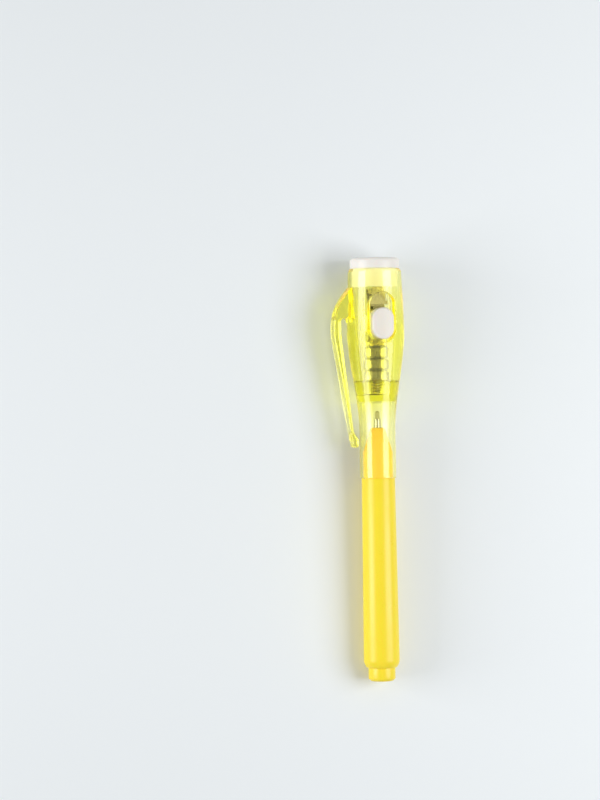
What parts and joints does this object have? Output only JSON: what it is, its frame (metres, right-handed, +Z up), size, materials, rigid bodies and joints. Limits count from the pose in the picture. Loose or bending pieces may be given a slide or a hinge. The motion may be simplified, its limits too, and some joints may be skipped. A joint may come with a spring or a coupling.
{
  "type": "uv invisible ink pen",
  "caption": "Slim capped felt-tip pen for invisible ink, with a see-through cap that holds a push-button ultraviolet lamp, button cells and a pocket clip.",
  "frame": {"origin": "centre of the flat end face of the tail plug, on the pen's axis", "axes": "+Y along the pen from the tail to the lamp, +Z up through the push button, clip on the -X side"},
  "size_m": [0.023, 0.132, 0.0183],
  "materials": {
    "opaque_yellow": "moulded, glossy",
    "grip_yellow": "moulded, glossy",
    "clear_yellow": "see-through, glossy",
    "clear_plastic": "clear, glossy",
    "white_plastic": "satin moulded",
    "button_white": "satin moulded",
    "cell_steel": "nickel plated",
    "contact_metal": "nickel plated strip",
    "tinned_wire": "tinned",
    "lens_epoxy": "clear epoxy",
    "sleeve_steel": "drawn tube",
    "nib_fibre": "pressed fibre",
    "ink_fibre": "bundled fibre",
    "wrap_film": "thin film"
  },
  "bodies": {
    "pen": {"barrel": "opaque_yellow", "tail_plug": "opaque_yellow", "ink_reservoir": "ink_fibre", "reservoir_film": "wrap_film", "grip_section": "grip_yellow", "nib_sleeve": "sleeve_steel", "nib": "nib_fibre"},
    "cap": {"cap_shell": "clear_yellow", "cell_carrier": "clear_plastic", "contact_spring": "contact_metal", "return_strip": "contact_metal", "cell_contact": "contact_metal", "button_cell_1": "cell_steel", "button_cell_2": "cell_steel", "button_cell_3": "cell_steel"},
    "lamp": {"light_plug": "white_plastic", "uv_led": "lens_epoxy", "lamp_plate": "contact_metal", "led_anode_leg": "tinned_wire", "led_cathode_leg": "tinned_wire"},
    "push_button": {"button": "button_white"},
    "leaf": {"switch_leaf": "contact_metal"}
  },
  "joints": [
    {"name": "cap_pull", "type": "slide", "parent": "pen", "child": "cap", "axis": [0, 1, 0], "range_m": [0, 0.03]},
    {"name": "lamp_pull", "type": "slide", "parent": "cap", "child": "lamp", "axis": [0, 1, 0], "range_m": [0, 0.02]},
    {"name": "button_press", "type": "slide", "parent": "cap", "child": "push_button", "axis": [0, 0, -1], "range_m": [0, 0.0006], "stiffness_N_per_m": 1500},
    {"name": "leaf_flex", "type": "hinge", "parent": "cap", "child": "leaf", "pos_m": [0, 0.1064, 0.00385], "axis": [-1, 0, 0], "range_deg": [0, 7]}
  ],
  "couplings": [
    {"joint": "leaf_flex", "follows": "button_press", "rad_per_m": 200}
  ]
}
